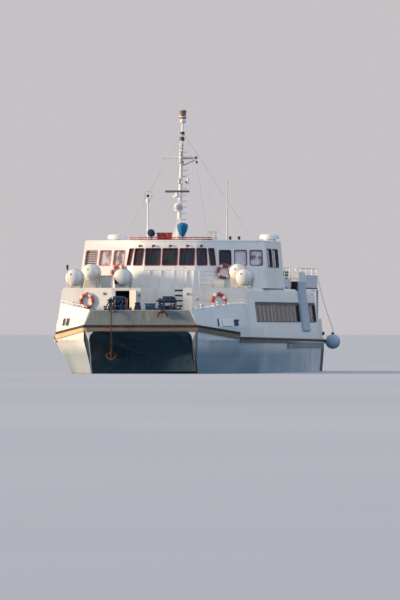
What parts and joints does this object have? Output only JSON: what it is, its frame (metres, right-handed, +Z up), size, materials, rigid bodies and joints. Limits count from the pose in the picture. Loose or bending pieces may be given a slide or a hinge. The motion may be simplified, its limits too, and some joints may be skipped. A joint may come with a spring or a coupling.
{
  "type": "passenger ferry",
  "caption": "Fast catamaran passenger ferry, 27 m, with two deck houses, stayed mast, bow winches, anchors and turning propellers, rudders, radar and doors.",
  "frame": {"origin": "on the waterline, on the centreline, midway between bow and stern", "axes": "+X to port, +Y aft, +Z up"},
  "size_m": [10.1653, 27.635, 14.0339],
  "materials": {
    "hull": "satin paint, streaked below the rail",
    "machinery": "painted engine block",
    "deck": "non-slip deck paint",
    "bulwark": "weathered grey paint",
    "rail_strip": "black over tan",
    "house": "satin white paint",
    "glass": "tinted",
    "seats": "plain woven",
    "trunk": "streaked grey-blue paint",
    "dark_gear": "matt",
    "rigging": "stranded wire",
    "roof_gear": "weathered red, with covered lamps",
    "winch": "navy paint",
    "anchor": "rusted",
    "canister": "white moulded shell",
    "lifebuoy": "orange, faded",
    "propeller": "bronze",
    "fender": "scuffed inflatable skin",
    "rope": "three-strand"
  },
  "bodies": {
    "root": {"hull_port": "hull", "hull_starboard": "hull", "engine_port": "machinery", "engine_starboard": "machinery", "bridge_deck": "deck", "bow_bulwark": "bulwark", "bow_rub_rail": "rail_strip", "rub_rail_port": "rail_strip", "rub_rail_starboard": "rail_strip", "saloon_side_port": "house", "saloon_side_starboard": "house", "saloon_front": "house", "saloon_aft_bulkhead": "house", "upper_deck": "house", "upper_front": "house", "upper_side_port": "house", "upper_side_starboard": "house", "upper_aft_bulkhead": "house", "upper_roof": "house", "helm_console": "house", "mast": "house", "fore_ladder": "house", "upper_deck_rail": "house", "saloon_glass_port": "glass", "saloon_glass_starboard": "glass", "upper_glass": "glass", "saloon_seats": "seats", "upper_seats": "seats", "helm_chairs": "seats", "vent_trunk_port": "trunk", "vent_trunk_starboard": "trunk", "direction_finder": "dark_gear", "mast_stays": "rigging", "roof_front_gear": "roof_gear", "winch_frame_port": "winch", "winch_frame_starboard": "winch", "anchor_starboard": "anchor", "anchor_port": "anchor", "raft_rack_port": "canister", "raft_rack_starboard": "canister", "raft_single": "canister", "lifebuoy_lower_port": "lifebuoy", "lifebuoy_upper_port": "lifebuoy", "lifebuoy_lower_starboard": "lifebuoy", "lifebuoy_upper_starboard": "lifebuoy", "fender_ball": "fender", "fender_rope": "rope"},
    "propeller_port": {"propeller_port": "propeller"},
    "propeller_starboard": {"propeller_starboard": "propeller"},
    "rudder_port": {"rudder_port": "hull"},
    "rudder_starboard": {"rudder_starboard": "hull"},
    "radar_scanner": {"radar_scanner": "dark_gear"},
    "winch_drum_port": {"winch_drum_port": "winch"},
    "winch_drum_starboard": {"winch_drum_starboard": "winch"},
    "fore_door": {"fore_door": "house"},
    "aft_door": {"aft_door": "house"},
    "upper_door": {"upper_door": "house"}
  },
  "joints": [
    {"name": "propeller_port_spin", "type": "hinge", "parent": "root", "child": "propeller_port", "pos_m": [3.14, 11.6, -0.8], "axis": [0, 1, 0], "continuous": true},
    {"name": "propeller_starboard_spin", "type": "hinge", "parent": "root", "child": "propeller_starboard", "pos_m": [-3.14, 11.6, -0.8], "axis": [0, 1, 0], "continuous": true},
    {"name": "rudder_port_turn", "type": "hinge", "parent": "root", "child": "rudder_port", "pos_m": [3.14, 12.65, 0], "axis": [0, 0, 1], "range_deg": [-35, 35]},
    {"name": "rudder_starboard_turn", "type": "hinge", "parent": "root", "child": "rudder_starboard", "pos_m": [-3.14, 12.65, 0], "axis": [0, 0, 1], "range_deg": [-35, 35]},
    {"name": "radar_turn", "type": "hinge", "parent": "root", "child": "radar_scanner", "pos_m": [0, -3.642, 8.75], "axis": [0, 0, 1], "continuous": true},
    {"name": "winch_port_spin", "type": "hinge", "parent": "root", "child": "winch_drum_port", "pos_m": [1.02, -11.94, 3], "axis": [1, 0, 0], "continuous": true},
    {"name": "winch_starboard_spin", "type": "hinge", "parent": "root", "child": "winch_drum_starboard", "pos_m": [-1.38, -11.94, 3], "axis": [1, 0, 0], "continuous": true},
    {"name": "fore_door_swing", "type": "hinge", "parent": "root", "child": "fore_door", "pos_m": [-1.075, -10.48, 3.1], "axis": [0, 0, 1], "range_deg": [-125, 20]},
    {"name": "aft_door_swing", "type": "hinge", "parent": "root", "child": "aft_door", "pos_m": [0.43, 11.59, 2.8], "axis": [0, 0, 1], "range_deg": [-100, 0]},
    {"name": "upper_door_swing", "type": "hinge", "parent": "root", "child": "upper_door", "pos_m": [0.43, 1.49, 5.2], "axis": [0, 0, 1], "range_deg": [-100, 0]}
  ],
  "couplings": [
    {"joint": "rudder_starboard_turn", "follows": "rudder_port_turn", "ratio": 1}
  ]
}
